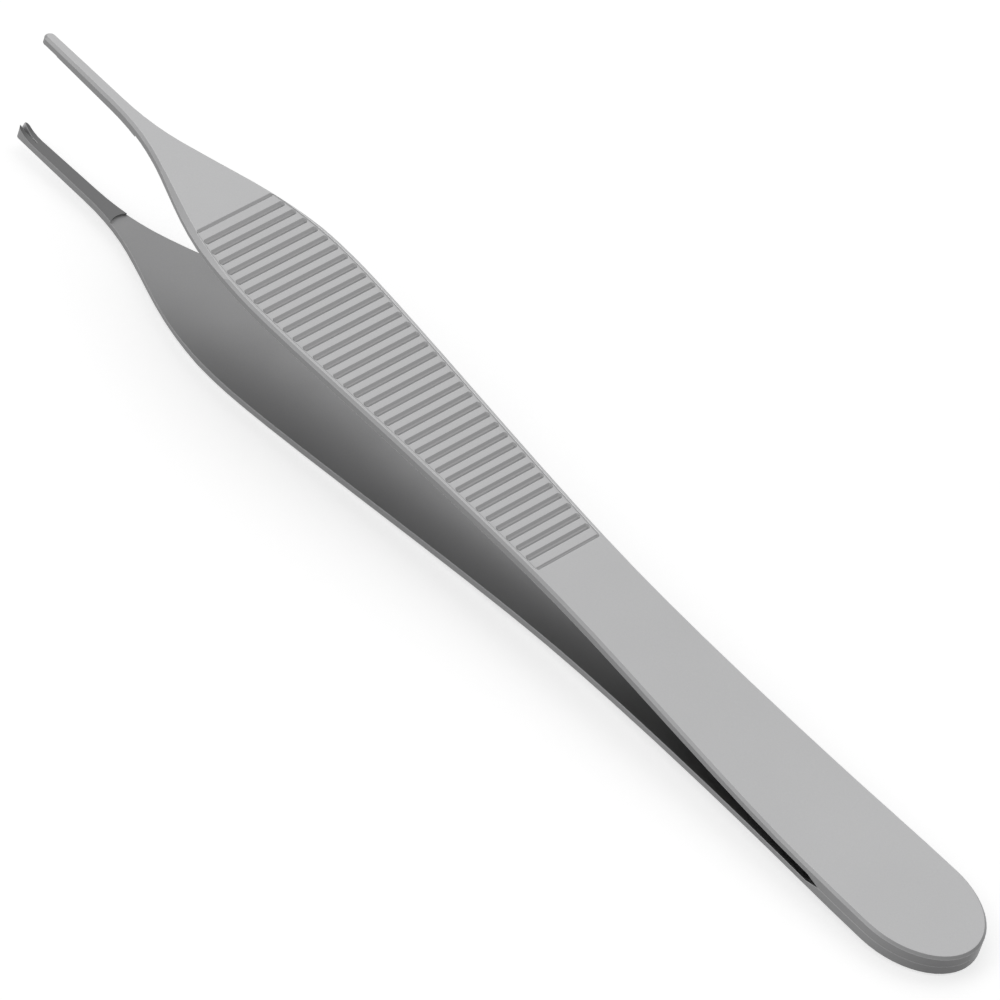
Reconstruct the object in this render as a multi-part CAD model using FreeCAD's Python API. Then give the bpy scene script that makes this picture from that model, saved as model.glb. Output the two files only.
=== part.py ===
import FreeCAD, Part
import math
import os

# Thumb forceps with one tooth meeting two, in millimetres.
# Two spring arms are mirror images about the plane z = 0 and are welded face to face at the heel.
# While it is built, the tip is at x = 0 and the heel at x = LENGTH. At the end the whole
# instrument is tipped onto the outer face of its lower arm, as it lies on a table.

# Plan, seen square to the arms: lengths from the tip to the heel
SHANK_LENGTH = 9.5
FLARE_LENGTH = 25.0
TAPER_LENGTH = 38.5
BACK_LENGTH = 39.7
HEEL_LENGTH = 7.3

# Plan: full widths at the ends of those lengths
TIP_WIDTH = 1.14
SHANK_WIDTH = 1.36
GRIP_WIDTH = 12.4
WAIST_WIDTH = 8.6
HEEL_WIDTH = 11.24
TIP_END_LENGTH = 0.5

# Plan: how long each smooth curve runs straight before it turns, from its own ends
FLARE_EASE_FRONT = 10.0
FLARE_EASE_BACK = 13.4
TAPER_EASE_FRONT = 7.0
TAPER_EASE_BACK = 13.0
BACK_EASE_FRONT = 12.0
BACK_EASE_BACK = 13.5

# Side view: height of one arm's outer face above the weld plane, and how the arm bows
HEEL_HALF_THICKNESS = 1.12
TIP_HEIGHT = 6.45
HEEL_FLAT_LENGTH = 15.0
BOW_EASE_HEEL = 22.0
BOW_EASE_TIP = 48.0
BOW_DROP_TIP = 0.15

# Side view: thickness of the arm along its length
SLIT_END_WALL = 0.72
BACK_WALL = 0.92
GRIP_WALL = 0.95
SHANK_WALL = 0.74

# The slit between the arms ends in a short wedge in front of the weld
WELD_LENGTH = 12.9
SLIT_WEDGE_LENGTH = 1.5

# Working tip: a raised land on the inner face, which ends in a round shoulder
LAND_LENGTH = 12.9
LAND_STEP = 0.12
LAND_SHOULDER_RADIUS = 2.0

# Teeth: one wedge on the upper arm drops into the notch between two on the lower arm
TOOTH_HEIGHT = 0.62
TOOTH_LENGTH = 2.2
TOOTH_CREST = 0.14
NOTCH_MOUTH = 0.56
NOTCH_ROOT = 0.12
TOOTH_CLEARANCE = 0.03
TOOTH_POCKET = 0.06

# Grip: shallow grooves across the outer face of each arm
GROOVE_COUNT = 36
GROOVE_PITCH = 1.253
GROOVE_START = 25.2
GROOVE_WIDTH = 0.78
GROOVE_FLOOR = 0.16
GROOVE_DEPTH = 0.20
GROOVE_MARGIN = 0.55
GROOVE_END_SLOPE = 0.22
GROOVE_END_BULGE = 0.5
GROOVE_RUN_OUT = 0.55
PANEL_MARGIN = 0.45
PANEL_DEPTH = 0.05

# Edges
RIM_CHAMFER = 0.24
BEVEL_WIDTH = 0.46
BEVEL_DROP = 0.40
BEVEL_START = 11.0
BEVEL_END = 37.0
BEVEL_FADE = 0.03
BEVEL_STATIONS = 9

# Working room beyond the faces for cutting tools, and steps along the bow when it is laid down
PAST = 2.0
REST_STEPS = 400

FLARE_START = SHANK_LENGTH
GRIP_X = FLARE_START + FLARE_LENGTH
WAIST_X = GRIP_X + TAPER_LENGTH
HEEL_X = WAIST_X + BACK_LENGTH
LENGTH = HEEL_X + HEEL_LENGTH
HEEL_FLAT_X = LENGTH - HEEL_FLAT_LENGTH
WELD_X = LENGTH - WELD_LENGTH
SLIT_X = WELD_X - SLIT_WEDGE_LENGTH


def point(x, y, z):
    return FreeCAD.Vector(x, y, z)


def bezier(points):
    curve = Part.BezierCurve()
    curve.setPoles(points)
    return curve


def outline_curves(inset=0.0):
    """One side of the plan, from the tip to the heel, as smooth curves at z = 0."""
    tip = TIP_WIDTH / 2 - inset
    shank = SHANK_WIDTH / 2 - inset
    grip = GRIP_WIDTH / 2 - inset
    waist = WAIST_WIDTH / 2 - inset
    heel = HEEL_WIDTH / 2 - inset
    shank_slope = (shank - tip) / (FLARE_START - TIP_END_LENGTH)
    flare = bezier([
        point(FLARE_START, shank, 0),
        point(FLARE_START + FLARE_EASE_FRONT, shank + shank_slope * FLARE_EASE_FRONT, 0),
        point(GRIP_X - FLARE_EASE_BACK, grip, 0),
        point(GRIP_X, grip, 0),
    ])
    taper = bezier([
        point(GRIP_X, grip, 0),
        point(GRIP_X + TAPER_EASE_FRONT, grip, 0),
        point(WAIST_X - TAPER_EASE_BACK, waist, 0),
        point(WAIST_X, waist, 0),
    ])
    back = bezier([
        point(WAIST_X, waist, 0),
        point(WAIST_X + BACK_EASE_FRONT, waist, 0),
        point(HEEL_X - BACK_EASE_BACK, heel, 0),
        point(HEEL_X, heel, 0),
    ])
    return flare, taper, back


def quarter_ellipse(centre_x, reach_x, half_width):
    """Quarter of an ellipse from the widest place to the end of the arm on its axis."""
    bulge = 0.5523
    return bezier([
        point(centre_x, half_width, 0),
        point(centre_x + bulge * reach_x, half_width, 0),
        point(centre_x + reach_x, bulge * half_width, 0),
        point(centre_x + reach_x, 0, 0),
    ])


def mirrored_prism(half, low, high):
    """A prism between two heights, from one side of its outline and the mirror image of that."""
    other = [edge.mirror(point(0, 0, 0), point(0, 1, 0)) for edge in half]
    face = Part.Face(Part.Wire(Part.__sortEdges__(half + other)))
    face.translate(point(0, 0, low))
    return face.extrude(point(0, 0, high - low))


def plan_prism(low, high):
    """The arm's outline seen from above, as a prism between two heights."""
    flare, taper, back = outline_curves()
    tip_end = quarter_ellipse(TIP_END_LENGTH, -TIP_END_LENGTH, TIP_WIDTH / 2)
    heel_end = quarter_ellipse(HEEL_X, HEEL_LENGTH, HEEL_WIDTH / 2)
    shank_side = Part.LineSegment(
        point(TIP_END_LENGTH, TIP_WIDTH / 2, 0),
        point(FLARE_START, SHANK_WIDTH / 2, 0),
    )
    half = [curve.toShape() for curve in (tip_end, shank_side, flare, taper, back, heel_end)]
    return mirrored_prism(half, low, high)


def half_width(x):
    """Half of the arm's width at a distance from the tip."""
    for curve in outline_curves():
        start = curve.value(0).x
        end = curve.value(1).x
        if start <= x <= end:
            low = 0.0
            high = 1.0
            for step in range(40):
                middle = (low + high) / 2
                if curve.value(middle).x < x:
                    low = middle
                else:
                    high = middle
            return curve.value(low).y
    return 0.0


def bow_curve(drop, end_drop, heel_start_x):
    """An arm's curve in side view, from the heel to the tip, set in by its wall thickness."""
    heel_drop, back_drop, grip_drop = drop
    return bezier([
        point(heel_start_x, 0, HEEL_HALF_THICKNESS - heel_drop),
        point(HEEL_FLAT_X - BOW_EASE_HEEL, 0, HEEL_HALF_THICKNESS - back_drop),
        point(BOW_EASE_TIP, 0, TIP_HEIGHT - BOW_DROP_TIP - grip_drop),
        point(0, 0, TIP_HEIGHT - end_drop),
    ])


def outer_curve():
    return bow_curve((0, 0, 0), 0, HEEL_FLAT_X)


def blade_curve():
    return bow_curve((SLIT_END_WALL, BACK_WALL, GRIP_WALL), SHANK_WALL, SLIT_X)


def curve_at(curve, x):
    """Parameter of a bow curve at a distance from the tip."""
    low = 0.0
    high = 1.0
    for step in range(40):
        middle = (low + high) / 2
        if curve.value(middle).x > x:
            low = middle
        else:
            high = middle
    return low


def height_at(curve, x):
    return curve.value(curve_at(curve, x)).z


def profile_prism(edges, half_depth):
    """A side view turned into a prism across the arm."""
    face = Part.Face(Part.Wire(edges))
    face.translate(point(0, -half_depth, 0))
    return face.extrude(point(0, 2 * half_depth, 0))


def arm_blank():
    """Upper arm before milling: the plan cut through the bowed side view, teeth left as stock."""
    outer = outer_curve()
    blade = blade_curve()
    land_back_x = LAND_LENGTH + 2 * LAND_SHOULDER_RADIUS
    land_back_z = height_at(blade, land_back_x) - LAND_STEP
    land_front_z = height_at(blade, TOOTH_LENGTH) - LAND_STEP
    crest_z = height_at(blade, 0) - LAND_STEP - TOOTH_HEIGHT
    drop = land_front_z - crest_z
    run = TOOTH_LENGTH - TOOTH_CREST
    radius = (run ** 2 + drop ** 2) / (2 * drop)
    half_turn = math.asin(run / radius) / 2
    arc_middle = point(TOOTH_LENGTH - radius * math.sin(half_turn), 0,
                       land_front_z - radius * (1 - math.cos(half_turn)))
    tip_top = point(0, 0, TIP_HEIGHT)
    tip_bottom = point(0, 0, crest_z)
    crest_back = point(TOOTH_CREST, 0, crest_z)
    land_front = point(TOOTH_LENGTH, 0, land_front_z)
    land_back = point(land_back_x, 0, land_back_z)
    floor_front = point(land_back_x, 0, 0)
    heel_low = point(LENGTH, 0, 0)
    heel_high = point(LENGTH, 0, HEEL_HALF_THICKNESS)
    heel_flat = point(HEEL_FLAT_X, 0, HEEL_HALF_THICKNESS)
    edges = [
        outer.toShape(),
        Part.makeLine(tip_top, tip_bottom),
        Part.makeLine(tip_bottom, crest_back),
        Part.Arc(crest_back, arc_middle, land_front).toShape(),
        Part.makeLine(land_front, land_back),
        Part.makeLine(land_back, floor_front),
        Part.makeLine(floor_front, heel_low),
        Part.makeLine(heel_low, heel_high),
        Part.makeLine(heel_high, heel_flat),
    ]
    side = profile_prism(edges, GRIP_WIDTH)
    blank = side.common(plan_prism(-PAST, TIP_HEIGHT + PAST))
    return chamfer_outer_rim(blank.Solids[0])


def chamfer_outer_rim(blank):
    """Break the edge between the outer face and the sides, all the way round."""
    rim = []
    for edge in blank.Edges:
        faces = blank.ancestorsOfType(edge, Part.Face)
        ups = [face_up(face, edge) for face in faces]
        if len(ups) == 2 and min(ups) < 0.05 and max(ups) > 0.5 and min(ups) > -0.05:
            rim.append(edge)
    return blank.makeChamfer(RIM_CHAMFER, rim)


def face_up(face, edge):
    """How far a face looks up, at the middle of one of its edges."""
    middle = edge.valueAt((edge.FirstParameter + edge.LastParameter) / 2)
    u, v = face.Surface.parameter(middle)
    return face.normalAt(u, v).z


def inner_relief():
    """Tool that thins the blade behind the land and opens the slit as far as the weld."""
    blade = blade_curve()
    below = -PAST
    front_high = point(0, 0, TIP_HEIGHT - SHANK_WALL)
    front_low = point(0, 0, below)
    weld_low = point(WELD_X, 0, below)
    weld_high = point(WELD_X, 0, 0)
    slit_high = point(SLIT_X, 0, HEEL_HALF_THICKNESS - SLIT_END_WALL)
    edges = [
        blade.toShape(),
        Part.makeLine(front_high, front_low),
        Part.makeLine(front_low, weld_low),
        Part.makeLine(weld_low, weld_high),
        Part.makeLine(weld_high, slit_high),
    ]
    side = profile_prism(edges, GRIP_WIDTH)
    nose_x = LAND_LENGTH + LAND_SHOULDER_RADIUS
    upper_nose = point(nose_x, LAND_SHOULDER_RADIUS, 0)
    lower_nose = point(nose_x, -LAND_SHOULDER_RADIUS, 0)
    upper_side = point(nose_x, GRIP_WIDTH, 0)
    lower_side = point(nose_x, -GRIP_WIDTH, 0)
    upper_end = point(LENGTH, GRIP_WIDTH, 0)
    lower_end = point(LENGTH, -GRIP_WIDTH, 0)
    plan = Part.Face(Part.Wire([
        Part.Arc(lower_nose, point(LAND_LENGTH, 0, 0), upper_nose).toShape(),
        Part.makeLine(upper_nose, upper_side),
        Part.makeLine(upper_side, upper_end),
        Part.makeLine(upper_end, lower_end),
        Part.makeLine(lower_end, lower_side),
        Part.makeLine(lower_side, lower_nose),
    ]))
    plan.translate(point(0, 0, below - PAST))
    prism = plan.extrude(point(0, 0, TIP_HEIGHT + 3 * PAST))
    return side.common(prism)


def flare_bevel(side):
    """Tool for the ground facet along one outer edge, widest in the middle of the flare."""
    outer = outer_curve()
    sections = []
    for step in range(BEVEL_STATIONS):
        along = step / (BEVEL_STATIONS - 1)
        x = BEVEL_START + along * (BEVEL_END - BEVEL_START)
        swell = math.sin(math.pi * along) ** 2
        width = BEVEL_WIDTH * swell + BEVEL_FADE
        drop = BEVEL_DROP * swell + BEVEL_FADE
        edge_y = half_width(x)
        top_z = height_at(outer, x)
        inside = point(x, side * (edge_y - 2 * width), top_z + drop)
        outside = point(x, side * (edge_y + width), top_z - 2 * drop)
        corner = point(x, side * (edge_y + width), top_z + drop)
        sections.append(Part.makePolygon([inside, outside, corner, inside]))
    return Part.makeLoft(sections, True, False)


def grip_panel():
    """Tool that sets the ridges between the grooves a hair below the plain margin round them."""
    floor = bow_curve((PANEL_DEPTH, PANEL_DEPTH, PANEL_DEPTH), PANEL_DEPTH, HEEL_FLAT_X)
    tip_low = point(0, 0, TIP_HEIGHT - PANEL_DEPTH)
    tip_high = point(0, 0, TIP_HEIGHT + PAST)
    heel_high = point(HEEL_FLAT_X, 0, TIP_HEIGHT + PAST)
    heel_low = point(HEEL_FLAT_X, 0, HEEL_HALF_THICKNESS - PANEL_DEPTH)
    side = profile_prism([
        floor.toShape(),
        Part.makeLine(tip_low, tip_high),
        Part.makeLine(tip_high, heel_high),
        Part.makeLine(heel_high, heel_low),
    ], GRIP_WIDTH)
    half = [curve.toShape() for curve in outline_curves(PANEL_MARGIN)]
    front = half[0].Vertexes[0].Point
    back = half[-1].Vertexes[-1].Point
    half.append(Part.makeLine(point(front.x, 0, 0), front))
    half.append(Part.makeLine(back, point(back.x, 0, 0)))
    plan = mirrored_prism(half, 0, TIP_HEIGHT + PAST)
    length = (GROOVE_COUNT - 1) * GROOVE_PITCH
    corner = point(GROOVE_START, -GRIP_WIDTH, 0)
    span = Part.makeBox(length, 2 * GRIP_WIDTH, TIP_HEIGHT + PAST, corner)
    return side.common(plan).common(span)


def groove(number):
    """Tool for one grip groove: narrow floor, and sides and ends that slope up to the face."""
    x = GROOVE_START + number * GROOVE_PITCH
    outer = outer_curve()
    lean = outer.tangent(curve_at(outer, x))[0]
    ends = (0, GROOVE_COUNT - 1)
    share = GROOVE_RUN_OUT if number in ends else 1.0
    depth = GROOVE_DEPTH * share
    floor = GROOVE_FLOOR * share / 2
    mouth = floor + (GROOVE_WIDTH - GROOVE_FLOOR) / 2 * share
    spread = (mouth - floor) / depth
    reach = half_width(x) - GROOVE_MARGIN
    end_spread = GROOVE_END_SLOPE / GROOVE_DEPTH
    low = round_ended(reach - end_spread * depth, floor, -depth)
    high = round_ended(reach + end_spread * GROOVE_DEPTH, mouth + spread * GROOVE_DEPTH, GROOVE_DEPTH)
    tool = Part.makeLoft([low, high], True, True)
    tool.rotate(point(0, 0, 0), point(0, 1, 0), math.degrees(math.atan2(lean.z, -lean.x)))
    tool.translate(point(x, 0, outer.value(curve_at(outer, x)).z))
    return tool


def round_ended(reach, half, z):
    """An outline across the arm with straight sides and a blunt arc at each end."""
    corner = reach - half * GROOVE_END_BULGE
    corners = [point(half, corner, z), point(half, -corner, z),
               point(-half, -corner, z), point(-half, corner, z)]
    return Part.Wire([
        Part.makeLine(corners[0], corners[1]),
        Part.Arc(corners[1], point(0, -reach, z), corners[2]).toShape(),
        Part.makeLine(corners[2], corners[3]),
        Part.Arc(corners[3], point(0, reach, z), corners[0]).toShape(),
    ])


def tooth_prism(section):
    """A section across the tip, cut along the length of the teeth."""
    wire = Part.makePolygon([point(-PAST, y, z) for y, z in section + section[:1]])
    return Part.Face(wire).extrude(point(PAST + TOOTH_LENGTH, 0, 0))


def tip_levels():
    """Heights of the teeth's crests and of the land beside them."""
    land_z = height_at(blade_curve(), TOOTH_LENGTH) - LAND_STEP
    crest_z = height_at(blade_curve(), 0) - LAND_STEP - TOOTH_HEIGHT
    return crest_z, land_z


def notch():
    """The gap between the lower arm's two teeth."""
    crest_z, land_z = tip_levels()
    root_z = land_z + TOOTH_POCKET
    mouth = NOTCH_MOUTH / 2
    root = NOTCH_ROOT / 2
    lean = (mouth - root) / (root_z - crest_z)
    low_z = crest_z - TOOTH_HEIGHT
    low = mouth + lean * TOOTH_HEIGHT
    return tooth_prism([(-root, root_z), (root, root_z), (low, low_z), (-low, low_z)])


def tooth_side(side):
    """What is taken off one side of the upper arm's stock, to leave its single tooth."""
    crest_z, land_z = tip_levels()
    base_z = land_z + TOOTH_POCKET
    base = NOTCH_MOUTH / 2 - TOOTH_CLEARANCE
    crest = NOTCH_ROOT / 2 - TOOTH_CLEARANCE
    low_z = crest_z - TOOTH_HEIGHT
    return tooth_prism([
        (side * base, base_z),
        (side * crest, crest_z),
        (side * crest, low_z),
        (side * TIP_WIDTH, low_z),
        (side * TIP_WIDTH, base_z),
    ])


def milled_arm():
    """What the two arms have in common: bow, land, slit, facets and grip grooves."""
    cutters = [groove(number) for number in range(GROOVE_COUNT)]
    cutters.append(grip_panel())
    cutters.append(inner_relief())
    cutters.extend(flare_bevel(side) for side in (-1, 1))
    return arm_blank().cut(cutters)


def upper_arm(arm):
    return arm.cut([tooth_side(-1), tooth_side(1)])


def lower_arm(arm):
    return arm.cut(notch()).mirror(point(0, 0, 0), point(0, 0, 1))


def resting_tilt():
    """Angle that brings the lower arm's heel and the belly of its bow down to one level."""
    outer = outer_curve()
    heel_x = LENGTH - RIM_CHAMFER
    steepest = 0.0
    for step in range(1, REST_STEPS):
        spot = outer.value(step / REST_STEPS)
        steepest = max(steepest, (spot.z - HEEL_HALF_THICKNESS) / (heel_x - spot.x))
    return math.degrees(math.atan(steepest))


def lay_down(shapes):
    """Tip the arms onto the table, with the origin under the middle of the whole."""
    tilt = resting_tilt()
    for shape in shapes:
        shape.rotate(point(LENGTH, 0, 0), point(0, 1, 0), tilt)
    box = Part.makeCompound(shapes).optimalBoundingBox(False, False)
    middle = point(-(box.XMin + box.XMax) / 2, -(box.YMin + box.YMax) / 2, -box.ZMin)
    for shape in shapes:
        shape.translate(middle)


def main():
    arm = milled_arm()
    nodes = {"upper_arm": upper_arm(arm), "lower_arm": lower_arm(arm)}
    lay_down(list(nodes.values()))
    os.makedirs("parts", exist_ok=True)
    for name, shape in nodes.items():
        shape.exportStep("parts/" + name + ".step")


main()
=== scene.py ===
import math

import bpy
from mathutils import Matrix, Vector

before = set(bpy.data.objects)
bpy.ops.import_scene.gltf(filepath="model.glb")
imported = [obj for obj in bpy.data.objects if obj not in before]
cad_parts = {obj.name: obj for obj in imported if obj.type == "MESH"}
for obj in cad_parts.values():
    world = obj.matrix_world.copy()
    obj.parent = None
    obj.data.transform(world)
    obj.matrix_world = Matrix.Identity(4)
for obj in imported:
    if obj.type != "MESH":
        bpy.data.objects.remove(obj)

MM = 0.001

# Camera, at the photograph's viewing angle. Angles are in degrees, and the frame is square.
CAMERA_AIM = Vector((1.454, -0.55, 6.85)) * MM
CAMERA_RANGE = 853.3 * MM
CAMERA_AZIMUTH = -35.447
CAMERA_ELEVATION = 42.892
CAMERA_ROLL = 15.146
CAMERA_LENS = 357.4
CAMERA_SENSOR = 36.0
CAMERA_FARTHEST = 10.0

# Light: two wide soft boxes on the left, behind and in front, and an even pale surround
BACK_BOX_PLACE = (-0.60, 0.62, 0.85)
BACK_BOX_SIZE = 1.2
BACK_BOX_WATTS = 2.0
FRONT_BOX_PLACE = (-0.55, -0.80, 0.75)
FRONT_BOX_SIZE = 0.7
FRONT_BOX_WATTS = 1.1
SURROUND_LEVEL = 0.64

# Floor: white paper, lifted to white where the camera or a reflection sees it
FLOOR_HALF_SIZE = 3.0
FLOOR_LIFT = 0.54
FIBRES_PER_METRE = 900.0
FIBRE_DETAIL = 2.0
PAPER_DARK = 0.79
PAPER_LIGHT = 0.80

# The values of a noise between which its tone or roughness changes
NOISE_LOW = 0.3
NOISE_HIGH = 0.7

# Steel. A shade is what the colour is multiplied by, and a glint is what is added to that.
STEEL_COLOUR = (0.470, 0.470, 0.474)
STEEL_ROUGHNESS = 0.42
GRAIN_SIZE = 0.10 * MM
GRAIN_DETAIL = 3.0
GRAIN_SHADE = 0.95
GRAIN_HEIGHT = 0.004 * MM
GRAIN_STRENGTH = 0.35
CLOUD_SIZE = 6.0 * MM
CLOUD_DETAIL = 4.0
CLOUD_SHADE = 0.965
CLOUD_ROUGHNESS = 0.03

# Edges, with a painted highlight: their radius, and how far the rounded normal turns there
EDGE_SOFTNESS = 0.10 * MM
EDGE_SAMPLES = 6
EDGE_TURN = 0.13
EDGE_GLINT = 0.75
EDGE_OPENNESS = 0.97

# Grip grooves, hollows that face up or down, with painted shade in them. The tones are those of the
# back flank, the floor and the front flank, by the normal's lean along the arm.
GROOVE_REACH = 0.90 * MM
GROOVE_SAMPLES = 32
GROOVE_FULL = 0.93
GROOVE_STARTS = 0.975
GROOVE_FACING = 0.5
GROOVE_LEAN = 0.45
GROOVE_TONES = [(0.05, 0.78), (0.60, 0.65), (0.95, 0.86)]

# Painted highlight on the low step round the grip's ridges, which faces the strip's middle line
GRIP_START = 24.0 * MM
STEP_FULL = -0.95
STEP_STARTS = -0.75
STEP_GLINT = 0.7

# Painted shade on the ground sides, by the upright and outward parts of the normal, darker round
# the heel
SIDE_STARTS = 0.80
SIDE_FULL = 0.62
OUTWARD_STARTS = -0.5
OUTWARD_FULL = -0.2
SIDE_SHADE = 0.55
HEEL_FULL = 0.8
HEEL_SHADE = 0.38

# Painted shade on the inner faces, which look at the other arm; and the ground land at each tip,
# which ends in a round shoulder
INNER_FACING = -0.5
INNER_SHADE = 0.56
LAND_END = 14.9 * MM
LAND_SHOULDER = 2.0 * MM
LAND_SHADE = 0.56
LAND_ROUGHNESS = 0.30

# How the arms lie: the weld plane's tilt in degrees, and its far end, a length from the tips
ARM_TILT = 2.9466
ARM_LENGTH = 120.0 * MM
HEEL_END = Vector((60.058, 0, 1.106)) * MM

# Spacing of the nodes in the shader editor
NODE_COLUMN = 200
NODE_ROW = 180


def node(tree, kind, **settings):
    """Add a shader node with its settings."""
    made = tree.nodes.new(kind)
    for name, value in settings.items():
        setattr(made, name, value)
    return made


def feed(tree, value, socket):
    """Link an output to an input, or give the input a plain value."""
    if isinstance(value, bpy.types.NodeSocket):
        tree.links.new(value, socket)
    else:
        socket.default_value = value


def maths(tree, operation, *values):
    """A Math node on outputs or plain numbers."""
    made = node(tree, "ShaderNodeMath", operation=operation)
    for value, socket in zip(values, made.inputs):
        feed(tree, value, socket)
    return made.outputs["Value"]


def stretch(tree, value, low, high, to_low, to_high):
    """A value carried from one span of numbers to another, and held at its ends."""
    made = node(tree, "ShaderNodeMapRange")
    spans = {"From Min": low, "From Max": high, "To Min": to_low, "To Max": to_high}
    for name, end in spans.items():
        made.inputs[name].default_value = end
    feed(tree, value, made.inputs["Value"])
    return made.outputs["Result"]


def greys(tree, value, stops):
    """A colour ramp of greys, from pairs of position and tone."""
    made = node(tree, "ShaderNodeValToRGB")
    elements = made.color_ramp.elements
    for position, tone in stops[1:-1]:
        elements.new(position)
    for element, (position, tone) in zip(elements, stops):
        element.position = position
        element.color = (tone, tone, tone, 1.0)
    feed(tree, value, made.inputs["Fac"])
    return made.outputs["Color"]


def noise(tree, place, scale, detail):
    """A noise over the surface's own place."""
    made = node(tree, "ShaderNodeTexNoise")
    made.inputs["Scale"].default_value = scale
    made.inputs["Detail"].default_value = detail
    feed(tree, place, made.inputs["Vector"])
    return made.outputs["Fac"]


def axes(tree, vector):
    """The X, Y and Z parts of a vector."""
    made = node(tree, "ShaderNodeSeparateXYZ")
    feed(tree, vector, made.inputs["Vector"])
    return made.outputs


def product(tree, colours):
    """All the colours multiplied together."""
    total = colours[0]
    for colour in colours[1:]:
        made = node(tree, "ShaderNodeMix", data_type="RGBA", blend_type="MULTIPLY")
        made.inputs["Factor"].default_value = 1.0
        feed(tree, total, made.inputs["A"])
        feed(tree, colour, made.inputs["B"])
        total = made.outputs["Result"]
    return total


def darker(tree, mask, shade):
    """A tone that falls from one to the shade as the mask rises from nothing to one."""
    loss = maths(tree, "SUBTRACT", 1, shade)
    return maths(tree, "SUBTRACT", 1, maths(tree, "MULTIPLY", mask, loss))


def brighter(tree, glint, mask):
    """A tone of one, with the glint added where the mask is one."""
    return maths(tree, "ADD", maths(tree, "MULTIPLY", glint, mask), 1)


def seen(tree):
    """One where the camera or a reflection looks, nothing where light bounces."""
    path = node(tree, "ShaderNodeLightPath")
    return maths(tree, "MAXIMUM", path.outputs["Is Camera Ray"], path.outputs["Is Glossy Ray"])


def new_material(name):
    """A material with an empty node tree."""
    material = bpy.data.materials.new(name)
    material.use_nodes = True
    material.node_tree.nodes.clear()
    return material


def end_tree(tree, kind, surface):
    """Add the output, and set the nodes in columns, each left of all that it feeds."""
    output = node(tree, kind)
    feed(tree, surface, output.inputs["Surface"])
    columns = {made.name: 0 for made in tree.nodes}
    for _ in tree.nodes:
        for link in tree.links:
            start, end = link.from_node.name, link.to_node.name
            columns[start] = max(columns[start], columns[end] + 1)
    rows = {}
    for made in tree.nodes:
        column = columns[made.name]
        rows[column] = rows.get(column, 0) + 1
        made.location = (-NODE_COLUMN * column, -NODE_ROW * rows[column])


def arm_place(tree, place):
    """The place along, across and above the weld plane, from the tips, as the arms were cut."""
    turn = Matrix.Rotation(-math.radians(ARM_TILT), 3, "Y")
    level = node(tree, "ShaderNodeMapping")
    level.inputs["Rotation"].default_value = (0, -math.radians(ARM_TILT), 0)
    level.inputs["Location"].default_value = Vector((ARM_LENGTH, 0, 0)) - turn @ HEEL_END
    feed(tree, place, level.inputs["Vector"])
    return level.outputs["Vector"]


def outwardness(tree, facing, spot):
    """How far the surface faces away from the strip's middle line, from minus one to one."""
    return maths(tree, "MULTIPLY", facing["Y"], maths(tree, "SIGN", spot["Y"]))


def openness(tree):
    """How open the steel is to its surroundings: one on plain faces, less in any hollow."""
    hollow = node(tree, "ShaderNodeAmbientOcclusion", samples=GROOVE_SAMPLES, only_local=True)
    hollow.inputs["Distance"].default_value = GROOVE_REACH
    return hollow.outputs["AO"]


def inner_mask(tree, facing, spot):
    """One on the faces that look at the other arm."""
    away = maths(tree, "MULTIPLY", facing["Z"], maths(tree, "SIGN", spot["Z"]))
    return maths(tree, "LESS_THAN", away, INNER_FACING)


def land_mask(tree, spot, inner):
    """One on the working land at each tip, which ends in a shoulder round its own centre."""
    across = maths(tree, "POWER", maths(tree, "ABSOLUTE", spot["Y"]), 2)
    back = maths(tree, "ABSOLUTE", maths(tree, "SUBTRACT", spot["X"], LAND_END))
    along = maths(tree, "POWER", back, 2)
    reach = maths(tree, "SQRT", maths(tree, "ADD", across, along))
    outside = maths(tree, "GREATER_THAN", reach, LAND_SHOULDER)
    front = maths(tree, "LESS_THAN", spot["X"], LAND_END)
    return maths(tree, "MULTIPLY", maths(tree, "MULTIPLY", outside, front), inner)


def groove_painted_shade(tree, facing, clear):
    """Painted shade inside the grip grooves: darkest on the floor, less so on the two flanks."""
    hollow = stretch(tree, clear, GROOVE_FULL, GROOVE_STARTS, 1.0, 0.0)
    upright = maths(tree, "ABSOLUTE", facing["Z"])
    sloping = maths(tree, "GREATER_THAN", upright, GROOVE_FACING)
    inside = maths(tree, "MULTIPLY", hollow, sloping)
    lean = stretch(tree, facing["X"], -GROOVE_LEAN, GROOVE_LEAN, 0.0, 1.0)
    return darker(tree, inside, greys(tree, lean, GROOVE_TONES))


def edge_painted_highlight(tree, rounded, clear):
    """Painted highlight along the outer edges, where the rounded normal turns away from the true
    one.
    """
    true = node(tree, "ShaderNodeNewGeometry")
    agree = node(tree, "ShaderNodeVectorMath", operation="DOT_PRODUCT")
    feed(tree, true.outputs["Normal"], agree.inputs[0])
    feed(tree, rounded, agree.inputs[1])
    turned = stretch(tree, agree.outputs["Value"], 1.0 - EDGE_TURN, 1.0, EDGE_GLINT, 0.0)
    return brighter(tree, turned, maths(tree, "GREATER_THAN", clear, EDGE_OPENNESS))


def step_painted_highlight(tree, outward, spot):
    """Painted highlight on the low step round the grip's ridges, which faces inward."""
    inward = stretch(tree, outward, STEP_FULL, STEP_STARTS, STEP_GLINT, 0.0)
    return brighter(tree, inward, maths(tree, "GREATER_THAN", spot["X"], GRIP_START))


def side_painted_shade(tree, facing, outward):
    """Painted shade on the ground sides of the strips, darkest round the heel's end."""
    upright = maths(tree, "ABSOLUTE", facing["Z"])
    wall = stretch(tree, upright, SIDE_STARTS, SIDE_FULL, 0.0, 1.0)
    outer = stretch(tree, outward, OUTWARD_STARTS, OUTWARD_FULL, 0.0, 1.0)
    shade = stretch(tree, facing["X"], 0.0, HEEL_FULL, SIDE_SHADE, HEEL_SHADE)
    return darker(tree, maths(tree, "MULTIPLY", wall, outer), shade)


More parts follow.
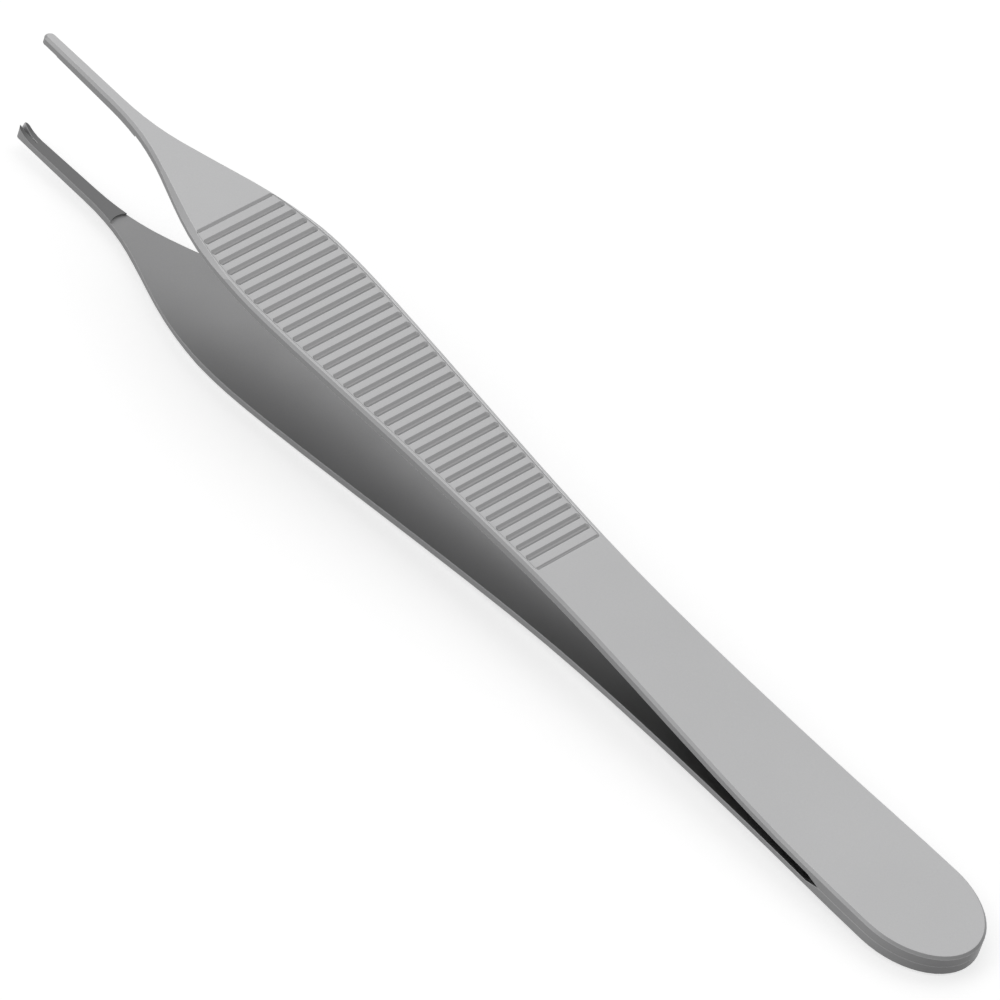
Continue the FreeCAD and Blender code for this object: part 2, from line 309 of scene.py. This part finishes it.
def steel_roughness(tree, clouds, land):
    """Roughness with the clouds in it, smoother on the lands."""
    low = STEEL_ROUGHNESS - CLOUD_ROUGHNESS
    high = STEEL_ROUGHNESS + CLOUD_ROUGHNESS
    cloudy = stretch(tree, clouds, NOISE_LOW, NOISE_HIGH, low, high)
    smoother = maths(tree, "MULTIPLY", land, STEEL_ROUGHNESS - LAND_ROUGHNESS)
    return maths(tree, "SUBTRACT", cloudy, smoother)


def grain_bump(tree, grain, rounded):
    """The normal of the blasted grain, over softened edges."""
    bump = node(tree, "ShaderNodeBump")
    bump.inputs["Strength"].default_value = GRAIN_STRENGTH
    bump.inputs["Distance"].default_value = GRAIN_HEIGHT
    feed(tree, grain, bump.inputs["Height"])
    feed(tree, rounded, bump.inputs["Normal"])
    return bump.outputs["Normal"]


def satin_steel(name):
    """Blasted stainless steel: even grain, faint clouds, ground lands, painted shade in the
    grooves, on the ground sides and the inner faces, and painted highlights on the edges and the
    step.
    """
    material = new_material(name)
    tree = material.node_tree
    place = node(tree, "ShaderNodeTexCoord")
    facing = axes(tree, place.outputs["Normal"])
    spot = axes(tree, arm_place(tree, place.outputs["Object"]))
    grain = noise(tree, place.outputs["Object"], 1 / GRAIN_SIZE, GRAIN_DETAIL)
    clouds = noise(tree, place.outputs["Object"], 1 / CLOUD_SIZE, CLOUD_DETAIL)
    edges = node(tree, "ShaderNodeBevel", samples=EDGE_SAMPLES)
    edges.inputs["Radius"].default_value = EDGE_SOFTNESS
    rounded = edges.outputs["Normal"]
    clear = openness(tree)
    outward = outwardness(tree, facing, spot)
    inner = inner_mask(tree, facing, spot)
    land = land_mask(tree, spot, inner)
    colour = product(tree, [
        STEEL_COLOUR + (1.0,),
        greys(tree, clouds, [(NOISE_LOW, CLOUD_SHADE), (NOISE_HIGH, 1.0)]),
        greys(tree, grain, [(NOISE_LOW, GRAIN_SHADE), (NOISE_HIGH, 1.0)]),
        # painted shade in the grip grooves
        groove_painted_shade(tree, facing, clear),
        # painted highlight along the outer edges
        edge_painted_highlight(tree, rounded, clear),
        # painted highlight on the low step round the ridges
        step_painted_highlight(tree, outward, spot),
        # painted shade on the outer sides, darkest round the heel
        side_painted_shade(tree, facing, outward),
        # painted shade on the inner faces, between the arms
        stretch(tree, inner, 0.0, 1.0, 1.0, INNER_SHADE),
        stretch(tree, land, 0.0, 1.0, 1.0, LAND_SHADE),
    ])
    steel = node(tree, "ShaderNodeBsdfPrincipled")
    steel.inputs["Metallic"].default_value = 1.0
    feed(tree, colour, steel.inputs["Base Color"])
    feed(tree, steel_roughness(tree, clouds, land), steel.inputs["Roughness"])
    feed(tree, grain_bump(tree, grain, rounded), steel.inputs["Normal"])
    end_tree(tree, "ShaderNodeOutputMaterial", steel.outputs["BSDF"])
    return material


def dress_arms():
    """Give each arm its own satin steel."""
    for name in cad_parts:
        arm = bpy.data.objects[name]
        steel = satin_steel(name + "_satin_steel")
        for slot in arm.material_slots:
            slot.material = steel


def white_paper():
    """White paper. What is seen of it is lifted to white, and the shadow stays."""
    material = new_material("white_paper")
    tree = material.node_tree
    place = node(tree, "ShaderNodeTexCoord")
    fibres = noise(tree, place.outputs["Object"], FIBRES_PER_METRE, FIBRE_DETAIL)
    tone = greys(tree, fibres, [(NOISE_LOW, PAPER_DARK), (NOISE_HIGH, PAPER_LIGHT)])
    paper = node(tree, "ShaderNodeBsdfDiffuse")
    feed(tree, tone, paper.inputs["Color"])
    glow = node(tree, "ShaderNodeEmission")
    feed(tree, maths(tree, "MULTIPLY", seen(tree), FLOOR_LIFT), glow.inputs["Strength"])
    both = node(tree, "ShaderNodeAddShader")
    feed(tree, paper.outputs["BSDF"], both.inputs[0])
    feed(tree, glow.outputs["Emission"], both.inputs[1])
    end_tree(tree, "ShaderNodeOutputMaterial", both.outputs["Shader"])
    return material


def add_floor():
    """A wide square of paper under the object."""
    size = FLOOR_HALF_SIZE
    corners = [(-size, -size, 0), (size, -size, 0), (size, size, 0), (-size, size, 0)]
    mesh = bpy.data.meshes.new("floor")
    mesh.from_pydata(corners, [], [(0, 1, 2, 3)])
    floor = bpy.data.objects.new("floor", mesh)
    bpy.context.collection.objects.link(floor)
    floor.data.materials.append(white_paper())


def add_soft_box(name, place, size, watts):
    """A square area lamp that faces the middle of the object."""
    data = bpy.data.lights.new(name, "AREA")
    data.shape = "SQUARE"
    data.size = size
    data.energy = watts
    lamp = bpy.data.objects.new(name, data)
    lamp.location = place
    lamp.rotation_euler = (-Vector(place)).to_track_quat("-Z", "Y").to_euler()
    bpy.context.collection.objects.link(lamp)


def add_surround():
    """An even pale world, which the camera and reflections see as white."""
    world = bpy.data.worlds.new("surround")
    bpy.context.scene.world = world
    world.use_nodes = True
    tree = world.node_tree
    tree.nodes.clear()
    back = node(tree, "ShaderNodeBackground")
    level = stretch(tree, seen(tree), 0.0, 1.0, SURROUND_LEVEL, 1.0)
    feed(tree, level, back.inputs["Strength"])
    end_tree(tree, "ShaderNodeOutputWorld", back.outputs["Background"])


def add_camera():
    """The camera, looking at its aim and rolled about its line of sight."""
    azimuth = math.radians(CAMERA_AZIMUTH)
    elevation = math.radians(CAMERA_ELEVATION)
    roll = math.radians(CAMERA_ROLL)
    look = Vector((
        math.sin(azimuth) * math.cos(elevation),
        math.cos(azimuth) * math.cos(elevation),
        -math.sin(elevation),
    ))
    level_right = look.cross(Vector((0, 0, 1))).normalized()
    level_up = level_right.cross(look)
    right = level_right * math.cos(roll) + level_up * math.sin(roll)
    up = level_up * math.cos(roll) - level_right * math.sin(roll)
    turn = Matrix((right, up, -look)).transposed().to_4x4()
    data = bpy.data.cameras.new("camera")
    data.lens = CAMERA_LENS
    data.sensor_width = CAMERA_SENSOR
    data.clip_end = CAMERA_FARTHEST
    camera = bpy.data.objects.new("camera", data)
    camera.matrix_world = Matrix.Translation(CAMERA_AIM - look * CAMERA_RANGE) @ turn
    bpy.context.collection.objects.link(camera)
    bpy.context.scene.camera = camera


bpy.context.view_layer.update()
dress_arms()
add_floor()
add_soft_box("back_box", BACK_BOX_PLACE, BACK_BOX_SIZE, BACK_BOX_WATTS)
add_soft_box("front_box", FRONT_BOX_PLACE, FRONT_BOX_SIZE, FRONT_BOX_WATTS)
add_surround()
add_camera()
bpy.context.scene.view_settings.view_transform = "Standard"
